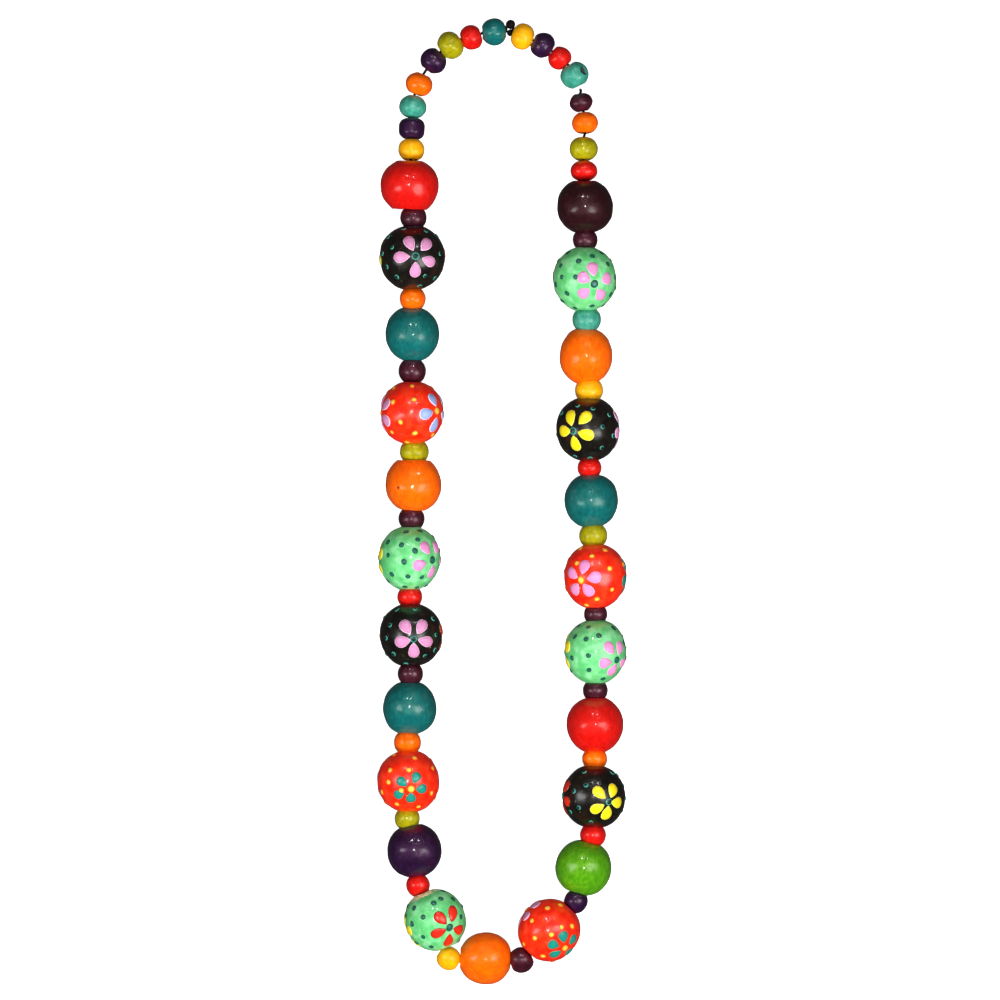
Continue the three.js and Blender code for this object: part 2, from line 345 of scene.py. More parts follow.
def dyed_wood(name, deep, dye, pale, lustre):
    """Dyed and lacquered wood in three shades of its dye, with the tint of its lustre."""
    material = empty_material(name)
    tree = material.node_tree
    blank = add(tree, "ShaderNodeAttribute", attribute_name="blank").outputs["Vector"]
    along = add(tree, "ShaderNodeMapping", {"Vector": blank, "Scale": (1, 1, 0.5)})
    mottle = add(tree, "ShaderNodeTexNoise", {
        "Vector": along, "Scale": 1000 / MOTTLE_MM, "Detail": 4.0, "Roughness": 0.7,
    })
    shade = add(tree, "ShaderNodeValToRGB", {"Fac": mottle}, stops=[(0.25, deep), (0.5, dye), (0.75, pale)])
    pores = add(tree, "ShaderNodeTexNoise", {
        "Vector": along, "Scale": 1000 / PORE_MM, "Detail": 3.0, "Roughness": 0.7,
    })
    dull = add(tree, "ShaderNodeMapRange", {
        "Value": pores, "From Min": 0.35, "From Max": 0.7, "To Min": 0.3, "To Max": 0.45,
    })
    # Painted shade, nearly black, in a knot hole's inner wall, and a pin knot's own dark wood.
    pit_shade_and_knot_dark = add(tree, "ShaderNodeAttribute", attribute_name="pit_shade_and_knot_dark").outputs["Fac"]
    shade = add(tree, "ShaderNodeMix", {
        "Factor": pit_shade_and_knot_dark, "A": shade, "B": linear("#04140C"),
    }, data_type="RGBA")
    relief = add(tree, "ShaderNodeBump", {"Height": pores, "Strength": 1.0, "Distance": 0.0001})
    wood = add(tree, "ShaderNodeBsdfPrincipled", {
        "Base Color": shade, "Roughness": dull, "Normal": relief, "IOR": 1.6, "Specular Tint": linear(lustre),
        "Coat Weight": 0.6, "Coat Roughness": 0.05, "Coat IOR": 1.4,
    })
    add(tree, "ShaderNodeOutputMaterial", {"Surface": wood})
    return material


dyes = {
    "red": dyed_wood("red dyed wood", "#B80805", "#D4100A", "#E41A10", "#FFA098"),
    "orange": dyed_wood("orange dyed wood", "#EE4A00", "#FC6400", "#FF7602", "#FFE080"),
    "yellow": dyed_wood("yellow dyed wood", "#EE9600", "#FAAC04", "#FFC00C", "#FFF4A0"),
    "olive": dyed_wood("olive dyed wood", "#7C7404", "#A09808", "#B4AE0C", "#FFFF90"),
    "teal": dyed_wood("teal dyed wood", "#024A48", "#056060", "#0A7670", "#D0FFD8"),
    "turquoise": dyed_wood("turquoise dyed wood", "#227A68", "#38947E", "#58B09A", "#E0FFF0"),
    "purple": dyed_wood("purple dyed wood", "#14061A", "#220A2C", "#34123E", "#E0B0D0"),
    "plum": dyed_wood("plum dyed wood", "#26060E", "#380E1C", "#4C182C", "#FFC0D0"),
    "green": dyed_wood("green dyed wood", "#327C06", "#4C940A", "#6CB01E", "#F4FFA0"),
}
# One purple bead has taken a browner dye than the others.
dark_plum = dyed_wood("dark plum dyed wood", "#140408", "#24080E", "#341018", "#E0B0B0")

# Neck beads
# Sixteen small beads behind the neck, eight each side of the knot, strung alone on bare elastic. They are
# cheap dyed wood beads of three eighths of an inch or so, each a little different in the width of its flat
# ends and the fullness of its shoulder.
NECK_BORE = 0.003
NECK_SHAPE = (0.0046, 2.06)
NECK_SHAPES = {7: (0.0062, 2.8), 8: (0.0060, 2.35), 54: (0.0050, 2.1), 57: (0.0036, 1.96), 58: (0.0052, 2.1)}
# One of them has a knot hole of the wood in its side, a short curved pit with a steep inner wall.
# Its inner wall is darkened nearly to black with painted shade.
PITTED = 58
PIT = dict(at=(583.4, 70.6), long=0.0040, wide=0.0019, deep=0.0013, leans=math.radians(-62))
PIT_BEND = 0.5
PIT_STEEPNESS = 1.6
PIT_SHADE_EDGE = 4
PIT_INNER_SIDE = 0.15
PIT_OUTER_SHADE = 0.45


def pitted(piece, centre, at, long, wide, deep, leans):
    """Sinks a curved oval pit into the bead's side, towards the bead's middle, and darkens its inner wall:
    painted shade in a knot hole, a pin knot's own dark wood.
    """
    pit_shade_and_knot_dark = []
    place = seen_at(at, centre.z)
    run = Vector((math.cos(leans), math.sin(leans), 0))
    for vertex in piece.data.vertices:
        outward = vertex.co - centre
        pit_shade_and_knot_dark.append(0.0)
        if outward.z < 0:
            continue
        offset = Vector((vertex.co.x - place.x, vertex.co.y - place.y, 0))
        along_pit = offset.dot(run) / (long / 2)
        across_pit = offset.cross(run).z / (wide / 2) + PIT_BEND * along_pit ** 2
        inside = 1 - along_pit ** 2 - across_pit ** 2
        if inside > 0:
            vertex.co -= outward.normalized() * deep * min(1, PIT_STEEPNESS * inside)
            shade = 1.0 if across_pit < PIT_INNER_SIDE else PIT_OUTER_SHADE
            pit_shade_and_knot_dark[-1] = min(1, PIT_SHADE_EDGE * inside) * shade
    piece.data.attributes.new("pit_shade_and_knot_dark", "FLOAT", "POINT").data.foreach_set("value", pit_shade_and_knot_dark)


# Their ends are more rounded than the solids', so each of these reaches a little further along the cord.
LONGER = {1: 0.0004, 3: 0.0006, 4: 0.0004, 6: 0.0004, 54: 0.0002, 55: 0.0005, 57: 0.0002, 61: 0.0002}
for number, length in LONGER.items():
    strung[number] = strung[number]._replace(along=strung[number].along + length)
for number in [*range(1, 9), *range(54, 62)]:
    colour = node_of[number].split("_")[-1]
    rim, fuller = NECK_SHAPES.get(number, NECK_SHAPE)
    rows, around = (32, 120) if number == PITTED else (14, 44)
    piece = turned_bead(
        f"neck_wood_{number:02d}", number, NECK_BORE, (rim, rim), (fuller, fuller), rows, around,
        finish=dyes[colour], uneven=0.0008, dents=0.0004,
    )
    if number == PITTED:
        pitted(piece, strung[number].centre, **PIT)
    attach(piece, "root")
    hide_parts(node_of[number])

# Large plain beads
# Eleven dyed beads of about seven eighths of an inch, between the painted ones. Their drilled ends are sanded
# flat, and two of them more at one end than at the other.
LARGE_BORE = 0.0058
LARGE_RIM = 0.0074
LARGE_FULLNESS = (2.08, 2.08)
BROWNER_PURPLE = 53
PLAIN_RIMS = {9: (0.0095, 0.0132), 17: (0.0125, 0.0085)}
# One has a pin knot, a dark speck that has shrunk a little below the surface.
SPECKED = 17
SPECK = dict(at=(397.8, 488.0), long=0.0011, wide=0.0010, deep=0.0003, leans=0.0)
plain_numbers = [number for number in node_of if node_of[number].startswith("plain")]
for number in plain_numbers:
    colour = node_of[number].split("_")[-1]
    rims = PLAIN_RIMS.get(number, (ball_rim(number, LARGE_RIM),) * 2)
    dye = dark_plum if number == BROWNER_PURPLE else dyes[colour]
    rows, around = (52, 190) if number == SPECKED else (20, 72)
    piece = turned_bead(
        f"plain_wood_{number:02d}", number, LARGE_BORE, rims, LARGE_FULLNESS, rows, around,
        finish=dye, uneven=0.0008, dents=0.0003,
    )
    if number == SPECKED:
        pitted(piece, strung[number].centre, **SPECK)
    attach(piece, "root")
    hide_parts(node_of[number])

# Spacer beads
# Twenty-two small dyed beads, one between each two large ones. Their ends sit in the mouths of the large
# holes, which keeps the large beads' paint apart.
SPACER_BORE = 0.0022
SPACER_RIM = 0.0038
SPACER_COLOURS = {
    10: "plum", 12: "orange", 14: "plum", 16: "olive", 18: "plum", 20: "red", 22: "plum", 24: "orange",
    26: "olive", 28: "red", 30: "yellow", 32: "plum", 34: "purple", 36: "red", 38: "orange", 40: "plum",
    42: "plum", 44: "olive", 46: "red", 48: "yellow", 50: "turquoise", 52: "plum",
}
for number, colour in SPACER_COLOURS.items():
    rim = ball_rim(number, SPACER_RIM)
    piece = turned_bead(
        f"spacer_wood_{number}", number, SPACER_BORE, (rim, rim), (2.05, 2.05),
        rows=14, around=44, finish=dyes[colour], uneven=0.0003, dents=0.0002,
    )
    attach(piece, "root")
    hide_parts("string_with_spacers")


# Painted beads
# Twelve inch-wide wooden beads in gloss enamel, in black, scarlet and pale green. The flowers and dots are
# thick paint, laid on by hand, which stands up from the bead and shines on its own edges.

# The enamel is brushed on, so it pools in soft waves and its shine has small ripples. Where it is rubbed off,
# a cream undercoat shows in chips.
POOL_MM = 3.333
RIPPLE_MM = 1.111
CHIP_MM = 0.8333


def enamel(name, under, paint, over):
    """Gloss enamel in three near shades."""
    material = empty_material(name)
    tree = material.node_tree
    blank = add(tree, "ShaderNodeAttribute", attribute_name="blank").outputs["Vector"]
    pooled = add(tree, "ShaderNodeTexNoise", {
        "Vector": blank, "Scale": 1000 / POOL_MM, "Detail": 3.0, "Roughness": 0.5,
    })
    shade = add(tree, "ShaderNodeValToRGB", {"Fac": pooled}, stops=[
        (0.35, under), (0.5, paint), (0.65, over),
    ])
    chips = add(tree, "ShaderNodeTexNoise", {
        "Vector": blank, "Scale": 1000 / CHIP_MM, "Detail": 2.0, "Roughness": 0.6,
    })
    worn = add(tree, "ShaderNodeAttribute", attribute_name="worn").outputs["Fac"]
    worn = add(tree, "ShaderNodeMath", {0: chips, 1: 3.0, 2: worn}, operation="MULTIPLY_ADD")
    worn = add(tree, "ShaderNodeMapRange", {"Value": worn, "From Min": 2.2, "From Max": 2.35})
    shade = add(tree, "ShaderNodeMix", {
        "Factor": worn, "A": shade, "B": linear("#FFF6BE"),
    }, data_type="RGBA")
    ripple = add(tree, "ShaderNodeTexNoise", {
        "Vector": blank, "Scale": 1000 / RIPPLE_MM, "Detail": 2.0, "Roughness": 0.5,
    })
    relief = add(tree, "ShaderNodeBump", {"Height": ripple, "Strength": 0.5, "Distance": 0.00008})
    paint_film = add(tree, "ShaderNodeBsdfPrincipled", {
        "Base Color": shade, "Roughness": 0.3, "Normal": relief, "IOR": 1.5,
        "Coat Weight": 0.45, "Coat Roughness": 0.05, "Coat IOR": 1.4,
    })
    add(tree, "ShaderNodeOutputMaterial", {"Surface": paint_film})
    return material


enamels = {
    "black": enamel("black enamel", "#0A0806", "#120E0A", "#1C1610"),
    "scarlet": enamel("scarlet enamel", "#F01C04", "#FF2A0A", "#FF3C18"),
    "green": enamel("pale green enamel", "#56C06C", "#6CCE80", "#8CDE9C"),
}


# A daub is thick enamel from a loaded brush. Its paint thins to its edge, and its colour goes with its
# thickness from a line at its edge through its rim and middle to its crown. Some of these lines are painted
# shadow and painted highlight, as said below; elsewhere the ground shows through the thin edge as a dark or
# pale line. The brush leaves fine strokes in its middle.
STROKE_MM = 1.111


def raised_enamel(name, edge, rim, middle, crown, rim_ends=0.44):
    """Thick enamel of a petal or a dot, with the line round it, its rim, its middle and its crown."""
    material = empty_material(name)
    tree = material.node_tree
    thick = add(tree, "ShaderNodeAttribute", attribute_name="thick").outputs["Fac"]
    place = add(tree, "ShaderNodeTexCoord").outputs["Object"]
    strokes = add(tree, "ShaderNodeTexNoise", {
        "Vector": place, "Scale": 1000 / STROKE_MM, "Detail": 2.0, "Roughness": 0.5,
    })
    strokes = add(tree, "ShaderNodeMath", {0: strokes, 1: 0.5}, operation="SUBTRACT")
    thick = add(tree, "ShaderNodeMath", {0: strokes, 1: 0.3, 2: thick}, operation="MULTIPLY_ADD")
    shade = add(tree, "ShaderNodeValToRGB", {"Fac": thick}, stops=[
        (0.2, edge), (0.28, rim), (rim_ends, rim), (rim_ends + 0.12, middle), (0.98, crown),
    ])
    paint_film = add(tree, "ShaderNodeBsdfPrincipled", {
        "Base Color": shade, "Roughness": 0.3, "IOR": 1.45,
        "Coat Weight": 0.3, "Coat Roughness": 0.06, "Coat IOR": 1.4,
    })
    add(tree, "ShaderNodeOutputMaterial", {"Surface": paint_film})
    return material


raised = {
    # The pale rims of the pink, plain pink, yellow and teal petals are painted highlights on their raised
    # edges, and their dark edge lines are painted shadow round them.
    "pink": raised_enamel("pink petal enamel", "#6A2A3A", "#FFD8F0", "#CE7CAE", "#D690BE"),
    "plain pink": raised_enamel("plain pink petal enamel", "#B06890", "#F0B4DC", "#DC84BC", "#E894C8"),
    "yellow": raised_enamel("yellow petal enamel", "#7A5A04", "#FFFA70", "#F0D40C", "#F8E01C"),
    # The red petals' cream edge line is a painted highlight on the raised edge, and their dark red rim is
    # painted shade.
    "red": raised_enamel("red petal enamel", "#E6E2A0", "#980C06", "#D8200E", "#E42C1A", 0.5),
    "teal": raised_enamel("teal petal enamel", "#0A3028", "#2C8C7A", "#127C6C", "#1C9080"),
    "blue": raised_enamel("blue petal enamel", "#7A1408", "#F0F0FF", "#8CA0D8", "#98ACE0"),
    # The teal dots' pale ring is a painted highlight round the raised dot.
    "teal dots": raised_enamel("teal dot enamel", "#2A7A6C", "#46A090", "#164840", "#0A2420", 0.66),
    "yellow dots": raised_enamel("yellow dot enamel", "#C23404", "#E86608", "#F8B42C", "#FFCC50", 0.62),
    # The dark green dots' lighter crown is a painted highlight on the top of the raised dot.
    "dark green dots": raised_enamel("dark green dot enamel", "#06301E", "#08402E", "#0A4432", "#1C6458"),
}

# What shows of each bead's flowers and dots is placed by the picture's pixels. turned_away gives the
# flowers on the rest of the bead, as (petals, degrees round the bead from the top towards the picture's
# right, degrees of spin).
PAINTING = {
    11: dict(
        petals="pink", petal=(0.0074, 0.0051), flower=(415.8, 256),
        petals_at=[(409.8, 243), (426, 244.6), (429, 261), (415.4, 270), (401.6, 257)],
        dots_at=[
            (392, 247), (382.4, 253.6), (386.8, 267), (396.7, 277), (425, 276), (419.7, 286), (440, 253.6),
            (426, 231), (403.5, 229), (388.4, 237), (435, 278),
        ],
        turned_away=[("yellow", -112, 12), ("red", 124, 40)],
    ),
    15: dict(
        petals="blue", petal=(0.0068, 0.0049), flower=(437, 411),
        petals_at=[(433.4, 399.8), (427, 413.6), (434.7, 425), (441.6, 400), (443, 415.5)],
        dots_at=[
            (393, 402), (414, 399.5), (400.6, 422), (415, 433), (392, 432), (432.6, 434.7), (412, 386),
            (394, 388), (432, 387), (407, 442),
        ],
        turned_away=[("pink", -80, 54), ("teal", 180, 10)],
    ),
    19: dict(
        petals="plain pink", petal=(0.0062, 0.0053), flower=(432.6, 560),
        petals_at=[(425.8, 548), (420, 565), (432, 572), (436.4, 547.4), (440.5, 561)],
        dots_at=[
            (388, 542), (401.4, 544.7), (417.7, 539.5), (415, 550.7), (388, 555), (404, 561.7),
            (391.7, 574.5), (408, 576.5), (421.8, 577.4), (406, 532), (420, 531), (434, 536), (388, 581),
            (405, 587), (417, 587.5), (426, 585.6), (377, 556.6), (442, 549.6),
        ],
        turned_away=[("yellow", -100, 36), ("red", 172, 20)],
    ),
    21: dict(
        petals="pink", petal=(0.0074, 0.0051), flower=(413.6, 639),
        petals_at=[(405.8, 627), (421.5, 626.6), (425.8, 641.4), (413.9, 651), (402.5, 641.7)],
        dots_at=[
            (390, 625), (386, 638), (393.5, 654), (425, 656), (436, 634.7), (433, 618.7), (415, 609),
            (397, 609.7), (435, 650), (406, 663.7),
        ],
        turned_away=[("red", 108, 36), ("yellow", -130, 5)],
    ),
    25: dict(
        petals="teal", petal=(0.0052, 0.0044), flower=(411, 789),
        petals_at=[(402, 782), (416, 777.6), (421.5, 789), (411, 798), (399, 794.4)],
        dots_at=[
            (390, 770), (409, 770), (388.6, 782), (401.4, 790.4), (414.7, 758), (432.6, 768), (431.5, 793),
            (397, 804), (418.5, 806.6), (382, 792), (394, 755),
        ],
        turned_away=[("pink", 124, 20), ("blue", -120, 48)],
    ),
    29: dict(
        petals="red", petal=(0.0074, 0.0049), flower=(449.7, 927.5),
        petals_at=[(441, 918.5), (453, 913.6), (459, 930), (449, 940.7), (438.8, 933)],
        dots_at=[
            (414, 908), (433.7, 903), (441, 898.7), (423, 917), (412, 924), (423, 937), (416.6, 943),
            (431.5, 947), (461, 917), (407.6, 906), (405.8, 916), (459, 941), (453, 899), (443, 891),
        ],
        turned_away=[("yellow", -98, 20), ("pink", 160, 50)],
    ),
    33: dict(
        petals="teal", petal=(0.0052, 0.0046), flower=(565, 948),
        petals_at=[(563.7, 937), (573, 940), (553.7, 945), (555.7, 954), (569, 952)],
        dots_at=[
            (547.6, 908), (532, 920.6), (534.8, 938), (551.4, 934.6), (561.6, 927), (572, 926), (543, 956),
            (560.5, 905), (524, 944),
        ],
        turned_away=[("pink", -88, 30), ("blue", 176, 10)],
    ),
    37: dict(
        petals="yellow", petal=(0.0068, 0.0050), flower=(609, 802),
        petals_at=[(599.6, 792.8), (613, 790.6), (617, 802.6), (607, 813.4), (597.5, 808.5)],
        dots_at=[
            (586, 785), (573.8, 791), (578.7, 807.7), (570.4, 811.8), (591, 822), (584.5, 771.7),
            (612, 772.8),
        ],
        turned_away=[("red", -86, 30), ("pink", 160, 14)],
    ),
    41: dict(
        petals="plain pink", petal=(0.0062, 0.0053), flower=(617, 660),
        petals_at=[(610, 648), (620, 648), (605.6, 663), (613, 670), (623, 663)],
        dots_at=[
            (578.7, 625.8), (588.5, 627), (575, 636.6), (586, 639), (599, 635.5), (588.5, 655.5),
            (571.8, 658), (589, 670), (571, 671), (613.7, 628), (603, 679), (624, 643), (627, 658.5),
        ],
        turned_away=[("yellow", -94, 0), ("red", 176, 25)],
    ),
    43: dict(
        petals="plain pink", petal=(0.0068, 0.0052), flower=(581, 580),
        petals_at=[(584, 567), (594, 577.5), (587.7, 590), (575, 589), (572, 573.4)],
        dots_at=[
            (592, 556), (577, 563), (609.7, 568.5), (612, 589.5), (597, 599), (605, 550), (623, 564),
            (586.6, 605), (580.7, 548.5),
        ],
        turned_away=[("teal", 100, 36), ("blue", -150, 8)],
    ),
    47: dict(
        petals="yellow", petal=(0.0074, 0.0051), flower=(573, 431),
        petals_at=[(570.4, 417.7), (584.5, 418), (586, 434.5), (575, 443.7), (564.4, 431)],
        dots_at=[
            (577.7, 405.8), (593, 408.5), (609, 414.7), (602.7, 426.7), (613.4, 435.6), (601.8, 447.7),
            (575, 456), (590, 458), (561.7, 413),
        ],
        turned_away=[("pink", 97, 36), ("red", -150, 30)],
    ),
    51: dict(
        petals="plain pink", petal=(0.0062, 0.0053), flower=(594.5, 284),
        petals_at=[(593, 269), (606.6, 279), (600.6, 294.6), (584, 293), (584, 278)],
        dots_at=[
            (578.7, 261), (592.5, 256), (608, 264), (615, 277), (610.6, 294.6), (592, 306), (567, 293.5),
            (561.5, 277), (575.6, 277), (560.7, 265.6), (568, 252.7), (601.6, 253), (555.7, 284.6),
            (562.6, 301), (575, 308), (603, 305.5),
        ],
        turned_away=[("yellow", 138, 20), ("red", -124, 0)],
    ),
}
# A petal's middle is PETAL_OUT from its flower's, and no guessed dot is within FLOWER_REACH of a flower,
# within DOT_APART of another mark or on the part that the bead lies on.
PETAL_OUT = 0.0054
FLOWER_REACH = 0.0095
PETAL_THICK = 0.00034
EYE_DOT = 0.0032
DOTS = {
    "black": ("teal dots", 0.0020), "scarlet": ("yellow dots", 0.0024), "green": ("dark green dots", 0.0023),
}
DOT_THICK = 0.00032
DOT_APART = 0.0046
BARE_UNDERNEATH = 0.0042
DOTS_END = 0.36
DOT_TRIES = 900
OUTSIDE = 0.03
# A mark's crown is broad and its edge falls off steeply. The edge is sunk in the bead by a share of how proud
# the crown stands, and the underside lies deeper by another.
CROWN_SPREAD = 0.8
EDGE_STEEPNESS = 3.5
SUNK = 0.25
UNDERSIDE_DEPTH = 1.6
UNDERSIDE_DROP = 0.2
PETAL_PINCH = 0.7
PETAL_FULLNESS = 1.2
# The paint of one has come off its rim, where the bead before it has rubbed.
WORN_RIM = 29
WORN_BACK = 0.0018
WORN_FADE = 0.0006

daub = new_tree("lay on thick paint", {
    "Marks": "Geometry", "Bead": "Object", "Middle": "Vector", "Wobble": "Float", "Seed": "Float",
    "Petals": "Material", "Next petals": "Material", "Last petals": "Material", "Dots": "Material",
})
given = add(daub, "NodeGroupInput").outputs
# A mark's kind is the place of its material in this list.
FINISHES = ("Petals", "Next petals", "Last petals", "Dots")
DOTS_KIND = 3
AROUND, RINGS = 14, 4
sheet = add(daub, "GeometryNodeMeshGrid", {
    "Size X": 1.0, "Size Y": 1.0, "Vertices X": AROUND + 1, "Vertices Y": RINGS + 2,
})
flat = add(daub, "ShaderNodeSeparateXYZ", {"Vector": add(daub, "GeometryNodeInputPosition")})
turn = add(daub, "ShaderNodeMath", {0: flat.outputs["X"], 1: 2 * math.pi}, operation="MULTIPLY")
row = flat.outputs["Y"]
for operation, value in (("ADD", 0.5), ("MULTIPLY", RINGS + 1.0), ("ROUND", 0.0)):
    row = add(daub, "ShaderNodeMath", {0: row, 1: value}, operation=operation)
# Rows run from the crown out to the edge, and the last row is the closed underside.
under = add(daub, "ShaderNodeMath", {0: row, 1: RINGS + 0.5}, operation="GREATER_THAN")
topside = add(daub, "ShaderNodeMath", {0: 1.0, 1: under}, operation="SUBTRACT")
reach = row
for operation, value in (("DIVIDE", float(RINGS)), ("MULTIPLY", topside), ("POWER", CROWN_SPREAD)):
    reach = add(daub, "ShaderNodeMath", {0: reach, 1: value}, operation=operation)
fall = add(daub, "ShaderNodeMath", {0: reach, 1: EDGE_STEEPNESS}, operation="POWER")
rise = add(daub, "ShaderNodeMath", {0: 1.0, 1: fall}, operation="SUBTRACT")
rise = add(daub, "ShaderNodeMath", {0: rise, 1: topside}, operation="MULTIPLY")
low = add(daub, "ShaderNodeMath", {0: under, 1: -UNDERSIDE_DEPTH, 2: -SUNK}, operation="MULTIPLY_ADD")
rise_from_bead = add(daub, "ShaderNodeMath", {0: rise, 1: 1.0 + SUNK, 2: low}, operation="MULTIPLY_ADD")
for label, value in (("rise", rise_from_bead), ("thick", rise)):
    sheet = add(daub, "GeometryNodeStoreNamedAttribute", {
        "Geometry": sheet, "Name": label, "Value": value,
    }, data_type="FLOAT", domain="POINT")
length = add(daub, "ShaderNodeMath", {0: turn}, operation="COSINE")
length = add(daub, "ShaderNodeMath", {0: length, 1: reach}, operation="MULTIPLY")
width = add(daub, "ShaderNodeMath", {0: turn}, operation="SINE")
width = add(daub, "ShaderNodeMath", {0: width, 1: reach}, operation="MULTIPLY")
# A petal is a drop, pinched towards its flower's middle.
pinch = turn
for operation, value in (
    ("MULTIPLY", 0.5), ("COSINE", 0.0), ("POWER", PETAL_PINCH), ("MULTIPLY", PETAL_FULLNESS),
):
    pinch = add(daub, "ShaderNodeMath", {0: pinch, 1: value}, operation=operation)
pinched = add(daub, "ShaderNodeMath", {0: width, 1: pinch}, operation="MULTIPLY")
below = add(daub, "ShaderNodeMath", {0: under, 1: -UNDERSIDE_DROP}, operation="MULTIPLY")
places = [add(daub, "ShaderNodeCombineXYZ", {"X": length, "Y": span, "Z": below}) for span in (pinched, width)]
drop, round_dot = [
    add(daub, "GeometryNodeSetPosition", {"Geometry": sheet, "Position": place}) for place in places
]
facing, pointing, size = [
    add(daub, "GeometryNodeInputNamedAttribute", {"Name": label}, data_type="FLOAT_VECTOR")
    for label in ("facing", "pointing", "size")
]
bearing = add(daub, "FunctionNodeAxesToRotation", {
    "Primary Axis": facing, "Secondary Axis": pointing,
}, primary_axis="Z", secondary_axis="X")
kind = add(daub, "GeometryNodeInputNamedAttribute", {"Name": "kind"}, data_type="INT")
is_dot, is_petal = [
    add(daub, "FunctionNodeCompare", {"A": kind, "B": DOTS_KIND}, data_type="INT", operation=test)
    for test in ("EQUAL", "LESS_THAN")
]
petals = add(daub, "GeometryNodeInstanceOnPoints", {
    "Points": given["Marks"], "Selection": is_petal, "Instance": drop, "Rotation": bearing, "Scale": size,
})
dots = add(daub, "GeometryNodeInstanceOnPoints", {
    "Points": given["Marks"], "Selection": is_dot, "Instance": round_dot, "Rotation": bearing, "Scale": size,
})
marks = add(daub, "GeometryNodeJoinGeometry", {"Geometry": petals})
daub.links.new(dots.outputs[0], marks.inputs[0])
marks = add(daub, "GeometryNodeRealizeInstances", {"Geometry": marks})
marks = add(daub, "GeometryNodeMergeByDistance", {"Geometry": marks, "Distance": WELD})
# The hand's wobble moves the outline along the surface, one way and back in about 2.4 mm.
WOBBLES_A_METRE = 420.0
shake = add(daub, "ShaderNodeTexNoise", {
    "W": given["Seed"], "Scale": WOBBLES_A_METRE, "Detail": 1.0,
}, noise_dimensions="4D").outputs["Color"]
shake = add(daub, "ShaderNodeVectorMath", {0: shake, 1: (0.5, 0.5, 0.5)}, operation="SUBTRACT")
shake = add(daub, "ShaderNodeVectorMath", {0: shake, "Scale": given["Wobble"]}, operation="SCALE")
marks = add(daub, "GeometryNodeSetPosition", {"Geometry": marks, "Offset": shake})
# Each point is let down from outside the bead towards its middle, until it lands on the wood.
ray = add(daub, "ShaderNodeVectorMath", {
    0: add(daub, "GeometryNodeInputPosition"), 1: given["Middle"],
}, operation="SUBTRACT")
ray = add(daub, "ShaderNodeVectorMath", {0: ray}, operation="NORMALIZE")
start = add(daub, "ShaderNodeVectorMath", {
    0: ray, 1: (OUTSIDE, OUTSIDE, OUTSIDE), 2: given["Middle"],
}, operation="MULTIPLY_ADD")
inward = add(daub, "ShaderNodeVectorMath", {0: ray, "Scale": -1.0}, operation="SCALE")
bead_shape = add(daub, "GeometryNodeObjectInfo", {"Object": given["Bead"]}).outputs["Geometry"]
hit = add(daub, "GeometryNodeRaycast", {
    "Target Geometry": bead_shape, "Source Position": start, "Ray Direction": inward, "Ray Length": 0.05,
})
rise, proud = [
    add(daub, "GeometryNodeInputNamedAttribute", {"Name": label}, data_type="FLOAT")
    for label in ("rise", "proud")
]
rise = add(daub, "ShaderNodeMath", {0: rise, 1: proud}, operation="MULTIPLY")
rise = add(daub, "ShaderNodeVectorMath", {0: ray, "Scale": rise}, operation="SCALE")
landed = add(daub, "ShaderNodeVectorMath", {0: hit.outputs["Hit Position"], 1: rise}, operation="ADD")
# What the bead lies on has rubbed the paint of its underside flat.
landed = add(daub, "ShaderNodeVectorMath", {0: landed, 1: (-1.0, -1.0, 0.0)}, operation="MAXIMUM")
marks = add(daub, "GeometryNodeSetPosition", {
    "Geometry": marks, "Selection": hit.outputs["Is Hit"], "Position": landed,
})
marks = add(daub, "GeometryNodeSetShadeSmooth", {"Geometry": marks})
for place, label in enumerate(FINISHES):
    which = add(daub, "FunctionNodeCompare", {"A": kind, "B": place}, data_type="INT", operation="EQUAL")
    marks = add(daub, "GeometryNodeSetMaterial", {
        "Geometry": marks, "Selection": which, "Material": given[label],
    })
add(daub, "NodeGroupOutput", {"Geometry": marks})


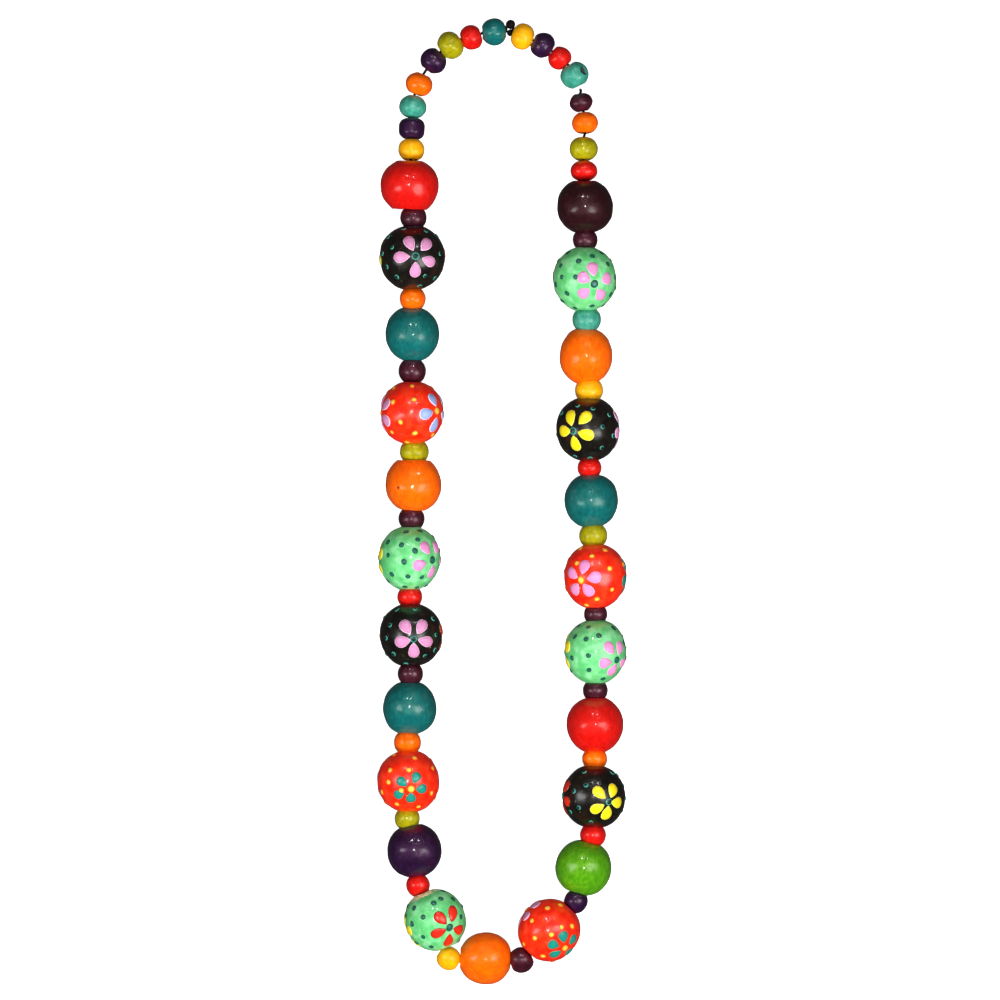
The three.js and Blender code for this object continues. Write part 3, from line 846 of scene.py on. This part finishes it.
def painted_marks(number, wood, painting, dots_across):
    """The marks on one bead, as (kind, middle, facing, pointing, long, wide, proud)."""
    bead = strung[number]
    shape = BVHTree.FromObject(wood, bpy.context.evaluated_depsgraph_get())
    luck = random.Random(100 + number)
    up = Vector((0, 0, 1))
    side = bead.axis.cross(up)
    if side.x < 0:
        side = -side
    top = side.cross(bead.axis)
    top = top if top.z > 0 else -top

    def on_bead(direction):
        direction = direction.normalized()
        return shape.ray_cast(bead.centre + direction * OUTSIDE, -direction)[:2]

    def under_pixel(pixel):
        low = seen_at(pixel, 0.0)
        place, facing = shape.ray_cast(EYE, (low - EYE).normalized())[:2]
        if place is None:
            nearest = seen_at(pixel, bead.centre.z)
            place, facing = shape.find_nearest(nearest)[:2]
        return on_bead(place - bead.centre)

    marks = []

    def petal(kind, middle, place, facing):
        long, wide = (size * luck.uniform(0.94, 1.06) / 2 for size in painting["petal"])
        marks.append((kind, place, facing, place - middle, long, wide, PETAL_THICK))

    def dot(place, facing, across):
        size = across * luck.uniform(0.9, 1.1) / 2
        pointing = top.cross(facing) + side * 0.1
        marks.append((DOTS_KIND, place, facing, pointing, size * luck.uniform(0.95, 1.1), size, DOT_THICK))

    flowers = []
    middle, facing = under_pixel(painting["flower"])
    dot(middle, facing, EYE_DOT)
    flowers.append(middle)
    for pixel in painting["petals_at"]:
        petal(0, middle, *under_pixel(pixel))
    for kind, (_, degrees, spin) in enumerate(painting["turned_away"], start=1):
        angle = math.radians(degrees)
        middle, facing = on_bead(top * math.cos(angle) + side * math.sin(angle))
        dot(middle, facing, EYE_DOT)
        flowers.append(middle)
        for k in range(5):
            swing = math.radians(spin + 72 * k + luck.uniform(-4, 4))
            level = facing.cross(bead.axis).normalized()
            over = bead.axis * math.cos(swing) + level * math.sin(swing)
            petal(kind, middle, *on_bead(middle + over * PETAL_OUT - bead.centre))
    for pixel in painting["dots_at"]:
        dot(*under_pixel(pixel), dots_across)
    taken = [mark[1] for mark in marks]
    lowest = bead.centre - up * bead.across / 2
    for _ in range(DOT_TRIES):
        direction = Vector([luck.gauss(0, 1) for _ in "xyz"]).normalized()
        place, facing = on_bead(direction)
        if place is None or facing.z > 0.02:
            continue
        if abs((place - bead.centre).dot(bead.axis)) > bead.along * DOTS_END:
            continue
        near_flower = min((place - flower).length for flower in flowers) < FLOWER_REACH
        near_mark = min((place - other).length for other in taken) < DOT_APART
        if near_flower or near_mark or (place - lowest).length < BARE_UNDERNEATH:
            continue
        dot(place, facing, dots_across)
        taken.append(place)
    return marks


for number, painting in PAINTING.items():
    colour = node_of[number].split("_")[-1]
    wood = turned_bead(
        f"painted_wood_{number}", number, LARGE_BORE, (LARGE_RIM, LARGE_RIM), LARGE_FULLNESS,
        rows=20, around=72, finish=enamels[colour], uneven=0.0007, dents=0.0003,
    )
    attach(wood, "root")
    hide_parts(node_of[number])
    if number == WORN_RIM:
        bead = strung[number]
        heights = [(vertex.co - bead.centre).dot(bead.axis) for vertex in wood.data.vertices]
        worn = [min(1, max(0, (WORN_BACK - bead.along / 2 - height) / WORN_FADE)) for height in heights]
        wood.data.attributes.new("worn", "FLOAT", "POINT").data.foreach_set("value", worn)
    dot_paint, dots_across = DOTS[colour]
    marks = painted_marks(number, wood, painting, dots_across)
    start = bpy.data.meshes.new("marks")
    start.from_pydata([mark[1] for mark in marks], [], [])
    for label, kind, values in (
        ("facing", "FLOAT_VECTOR", [c for mark in marks for c in mark[2]]),
        ("pointing", "FLOAT_VECTOR", [c for mark in marks for c in mark[3].normalized()]),
        ("size", "FLOAT_VECTOR", [c for mark in marks for c in (mark[4], mark[5], mark[4])]),
    ):
        start.attributes.new(label, kind, "POINT").data.foreach_set("vector", values)
    start.attributes.new("proud", "FLOAT", "POINT").data.foreach_set("value", [mark[6] for mark in marks])
    start.attributes.new("kind", "INT", "POINT").data.foreach_set("value", [mark[0] for mark in marks])
    paint = made_by(daub, f"raised_paint_{number}", start, {
        "Bead": wood, "Middle": strung[number].centre, "Wobble": 0.0004, "Seed": float(number),
        "Petals": raised[painting["petals"]], "Next petals": raised[painting["turned_away"][0][0]],
        "Last petals": raised[painting["turned_away"][1][0]], "Dots": raised[dot_paint],
    })
    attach(paint, "root")

# Elastic cord
# Thin round elastic, a rubber core in a black woven cover, about a millimetre through. It runs straight
# through each bead and shows only where two beads stand apart, and behind the neck where it is knotted.
CORD = 0.001

# The cover is matt black yarn, so it looks nearly flat, with a trace of its weave. That is drawn about twice
# as coarse as real, to show at all.
WEAVE_MM = 0.45
STRANDS_ROUND = 8.0
weave = empty_material("woven elastic cover")
tree = weave.node_tree
run = add(tree, "ShaderNodeAttribute", attribute_name="run").outputs["Fac"]
rounding = add(tree, "ShaderNodeAttribute", attribute_name="round").outputs["Vector"]
rounding = add(tree, "ShaderNodeSeparateXYZ", {"Vector": rounding})
angle = add(tree, "ShaderNodeMath", {0: rounding.outputs["Y"], 1: rounding.outputs["X"]}, operation="ARCTAN2")
strands = add(tree, "ShaderNodeMath", {0: angle, 1: STRANDS_ROUND}, operation="MULTIPLY")
strands = add(tree, "ShaderNodeMath", {0: strands}, operation="COSINE")
picks = add(tree, "ShaderNodeMath", {0: run, 1: 2 * math.pi * 1000 / WEAVE_MM}, operation="MULTIPLY")
picks = add(tree, "ShaderNodeMath", {0: picks}, operation="COSINE")
braid = add(tree, "ShaderNodeMath", {0: strands, 1: picks}, operation="SUBTRACT")
braid = add(tree, "ShaderNodeMath", {0: braid, 1: 0.25, 2: 0.5}, operation="MULTIPLY_ADD")
thread = add(tree, "ShaderNodeValToRGB", {"Fac": braid}, stops=[(0.2, "#040404"), (0.8, "#181414")])
relief = add(tree, "ShaderNodeBump", {"Height": braid, "Strength": 0.6, "Distance": 0.00008})
cover = add(tree, "ShaderNodeBsdfPrincipled", {
    "Base Color": thread, "Roughness": 0.62, "Normal": relief, "IOR": 1.5, "Specular IOR Level": 0.15,
    "Sheen Weight": 0.03, "Sheen Roughness": 0.4,
})
add(tree, "ShaderNodeOutputMaterial", {"Surface": cover})

cord_maker = new_tree("lay a round cord", {
    "Route": "Geometry", "Diameter": "Float", "Step": "Float", "Sides": "Int", "Finish": "Material",
})
given = add(cord_maker, "NodeGroupInput").outputs
route = add(cord_maker, "GeometryNodeMeshToCurve", {"Mesh": given["Route"]})
route = add(cord_maker, "GeometryNodeCurveSplineType", {"Curve": route}, spline_type="CATMULL_ROM")
route = add(cord_maker, "GeometryNodeResampleCurve", {"Curve": route, "Length": given["Step"]}, mode="LENGTH")
run = add(cord_maker, "GeometryNodeSplineParameter").outputs["Length"]
route = add(cord_maker, "GeometryNodeStoreNamedAttribute", {
    "Geometry": route, "Name": "run", "Value": run,
}, data_type="FLOAT", domain="POINT")
radius = add(cord_maker, "ShaderNodeMath", {0: given["Diameter"], 1: 0.5}, operation="MULTIPLY")
ring = add(cord_maker, "GeometryNodeCurvePrimitiveCircle", {"Resolution": given["Sides"], "Radius": radius})
ring = add(cord_maker, "GeometryNodeStoreNamedAttribute", {
    "Geometry": ring, "Name": "round", "Value": add(cord_maker, "GeometryNodeInputPosition"),
}, data_type="FLOAT_VECTOR", domain="POINT")
laid = add(cord_maker, "GeometryNodeCurveToMesh", {"Curve": route, "Profile Curve": ring, "Fill Caps": True})
laid = add(cord_maker, "GeometryNodeSetShadeSmooth", {"Geometry": laid})
laid = add(cord_maker, "GeometryNodeRealizeInstances", {"Geometry": laid})
laid = add(cord_maker, "GeometryNodeSetMaterial", {"Geometry": laid, "Material": given["Finish"]})
add(cord_maker, "NodeGroupOutput", {"Geometry": laid})


def cord_along(name, points, diameter, finish, step=0.0008):
    """A round cord through those points, rounded off smoothly between them."""
    path = bpy.data.meshes.new("route")
    path.from_pydata([tuple(point) for point in points], [(k, k + 1) for k in range(len(points) - 1)], [])
    piece = made_by(cord_maker, name, path, {
        "Diameter": diameter, "Step": step, "Sides": 10, "Finish": finish,
    })
    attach(piece, "root")
    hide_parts("string_with_spacers")
    return piece


def through(number):
    """The cord's points in one bead: into its hole, its middle and out again."""
    bead = strung[number]
    # A neck bead's small hole holds the cord straight up to its mouths. Other beads leave it room to bend.
    held = 0.5 if node_of.get(number, "").startswith("neck") else 0.38
    return [bead.centre + bead.axis * bead.along * held * share for share in (-1, -0.5, 0, 0.5, 1)]


# The cover has come apart between two neck beads, and its end stands up there as a short stub.
LAST_BEFORE_BREAK = 57
to_break = [point for number in sorted(strung) if number <= LAST_BEFORE_BREAK for point in through(number)]
from_break = [point for number in sorted(strung) if number > LAST_BEFORE_BREAK for point in through(number)]
stub_foot = seen_at((580.7, 93.6), to_break[-1].z)
stub_tip = seen_at((580.6, 90.2), to_break[-1].z + 0.0004)
cord_along("elastic_cord", to_break + [stub_foot, stub_tip], CORD, weave)
cord_along("elastic_cord_end", from_break[1:], CORD, weave)

FINE_STEP = 0.0004
POINTS_A_TURN = 18


def wound(name, middle, across, turns, seed):
    """A small tight ball of wound cord, each turn a little askew of the one before."""
    luck = random.Random(seed)
    lean, swing = luck.uniform(0, 3), luck.uniform(0, 3)
    points = []
    for k in range(POINTS_A_TURN * turns):
        angle = 2 * math.pi * k / POINTS_A_TURN
        ring = Vector((math.cos(angle), math.sin(angle), 0)) * (across - CORD) / 2
        tilt = Matrix.Rotation(lean + angle * 0.21, 3, "X") @ Matrix.Rotation(swing + angle * 0.13, 3, "Y")
        points.append(middle + tilt @ ring)
    return cord_along(name, points, CORD, weave, FINE_STEP)


wound("elastic_stub_end", stub_tip, across=0.0015, turns=2, seed=3)

# Core of the cord
# Where the black cover has worn through, between two neck beads, only a pale rubber thread of the core is
# left. Bare rubber is matt and takes dust, so it is a slightly uneven off-white.
CORE = 0.00035
DUST_MM = 0.4
rubber = empty_material("pale rubber core")
tree = rubber.node_tree
place = add(tree, "ShaderNodeTexCoord").outputs["Object"]
dust = add(tree, "ShaderNodeTexNoise", {"Vector": place, "Scale": 1000 / DUST_MM, "Detail": 2.0})
dusty = add(tree, "ShaderNodeValToRGB", {"Fac": dust}, stops=[(0.3, "#C8C4BC"), (0.7, "#E8E6E0")])
core = add(tree, "ShaderNodeBsdfPrincipled", {"Base Color": dusty, "Roughness": 0.5, "IOR": 1.5})
add(tree, "ShaderNodeOutputMaterial", {"Surface": core})
sag = (stub_tip + from_break[0]) / 2 - Vector((0, 0, 0.0002))
cord_along("elastic_core", [stub_tip, sag, from_break[0], from_break[1]], CORE, rubber, FINE_STEP)

# Knot
# The two ends are tied between the last bead and the first, and the knot is pulled into two tight lumps, one
# behind the other, against the last bead.
upper = seen_at((510.6, 24.4), 0.0040)
lower = seen_at((510.3, 32.8), 0.0034)
wound("knot_upper_lump", upper, across=0.0037, turns=7, seed=1)
wound("knot_lower_lump", lower, across=0.0028, turns=5, seed=2)
first_mouth = through(1)[0]
last_mouth = through(61)[-1]
right = Vector((0.0003, 0, 0))
arch = Vector((-0.0004, 0.0012, 0))
for name, points in (
    ("knot_upper_strand", [through(1)[1], first_mouth, (first_mouth + upper) / 2 + arch, upper]),
    ("knot_lower_strand", [through(1)[1], first_mouth, (first_mouth + lower) / 2 - right, lower]),
    ("knot_joining_strand", [upper + right * 3, (upper + lower) / 2 + right * 3.5, lower + right * 2]),
    ("knot_last_strand", [through(61)[-2], last_mouth, (last_mouth + lower) / 2, lower]),
):
    cord_along(name, points, CORD, weave, FINE_STEP)

# Table and light
# A matt white table, lit from below as product tables are, so that it shows as plain white and the necklace
# has next to no shadow. The lamps stand round it and over the camera.
TABLE = 3.0


def table_sheet(name, colour, glow, height):
    """A wide sheet of the table, with its own glow."""
    mesh = bpy.data.meshes.new(name)
    signs = [(-1, -1), (1, -1), (1, 1), (-1, 1)]
    mesh.from_pydata([(x * TABLE, y * TABLE, height) for x, y in signs], [], [(0, 1, 2, 3)])
    sheet = bpy.data.objects.new(name, mesh)
    bpy.context.collection.objects.link(sheet)
    material = empty_material(name)
    tree = material.node_tree
    surface = add(tree, "ShaderNodeBsdfPrincipled", {
        "Base Color": linear(colour), "Roughness": 0.9, "Specular IOR Level": 0.0,
        "Emission Color": linear("#FFFFFF"), "Emission Strength": glow,
    })
    add(tree, "ShaderNodeOutputMaterial", {"Surface": surface})
    mesh.materials.append(material)
    return sheet


# The upper sheet glows and is seen by the camera alone. The darker one under it throws the light back up.
top_sheet = table_sheet("table", "#F6F6F6", 0.85, 0.0)
top_sheet.visible_shadow = False
top_sheet.visible_diffuse = False
top_sheet.visible_glossy = False
bounce_sheet = table_sheet("table_under", "#6C6C6C", 0.0, -0.0001)
bounce_sheet.visible_camera = False
bounce_sheet.visible_glossy = False

world = bpy.data.worlds.new("studio")
bpy.context.scene.world = world
world.use_nodes = True
world.node_tree.nodes["Background"].inputs["Color"].default_value = linear("#FFFFFF")
world.node_tree.nodes["Background"].inputs["Strength"].default_value = 0.05


def lamp(name, place, aim, wide, deep, brightness, soft=False):
    """A flat lamp of that size, facing its aim, with its brightness. A soft one fades towards its edges."""
    light = bpy.data.lights.new(name, "AREA")
    light.shape = "RECTANGLE"
    light.size = wide
    light.size_y = deep
    light.energy = brightness * math.pi * wide * deep
    if soft:
        light.use_nodes = True
        tree = light.node_tree
        tree.nodes.clear()
        spot = add(tree, "ShaderNodeVectorMath", {
            0: add(tree, "ShaderNodeTexCoord").outputs["UV"], 1: (2.0, 2.0, 0.0), 2: (-1.0, -1.0, 0.0),
        }, operation="MULTIPLY_ADD")
        spot = add(tree, "ShaderNodeVectorMath", {0: spot}, operation="LENGTH").outputs["Value"]
        fade = add(tree, "ShaderNodeMapRange", {
            "Value": spot, "From Min": 0.2, "From Max": 1.0, "To Min": 1.0, "To Max": 0.0,
        }, interpolation_type="SMOOTHSTEP")
        add(tree, "ShaderNodeOutputLight", {"Surface": add(tree, "ShaderNodeEmission", {"Strength": fade})})
    holder = bpy.data.objects.new(name, light)
    place, aim = Vector(place), Vector(aim)
    holder.matrix_world = Matrix.LocRotScale(place, (place - aim).to_track_quat("Z", "Y"), None)
    bpy.context.collection.objects.link(holder)
    return holder


# Two oblong soft boxes stand either side, and a flash is above the camera. The key light shines in from past
# the front of the loop and shows in no reflection. Two small lamps are past the knot.
lamp("left softbox", (-0.75, -0.125, 0.72), (0, -0.1, 0), 0.46, 0.80, 7.2, soft=True)
lamp("right softbox", (0.50, -0.125, 0.72), (0, -0.1, 0), 0.53, 0.84, 7.2, soft=True)
lamp("flash", (0.0, 0.0, 12.6), (0, 0, 0), 1.60, 1.20, 50.0)
key = lamp("key light", (0.0, -7.8, 9.1), (0, 0, 0), 2.0, 2.0, 112.0)
key.visible_glossy = False
lamp("left back lamp", (-0.2, 1.0, 1.2), (0, 0, 0), 0.10, 0.10, 80.0)
lamp("right back lamp", (0.35, 1.0, 1.2), (0, 0, 0), 0.10, 0.10, 80.0)
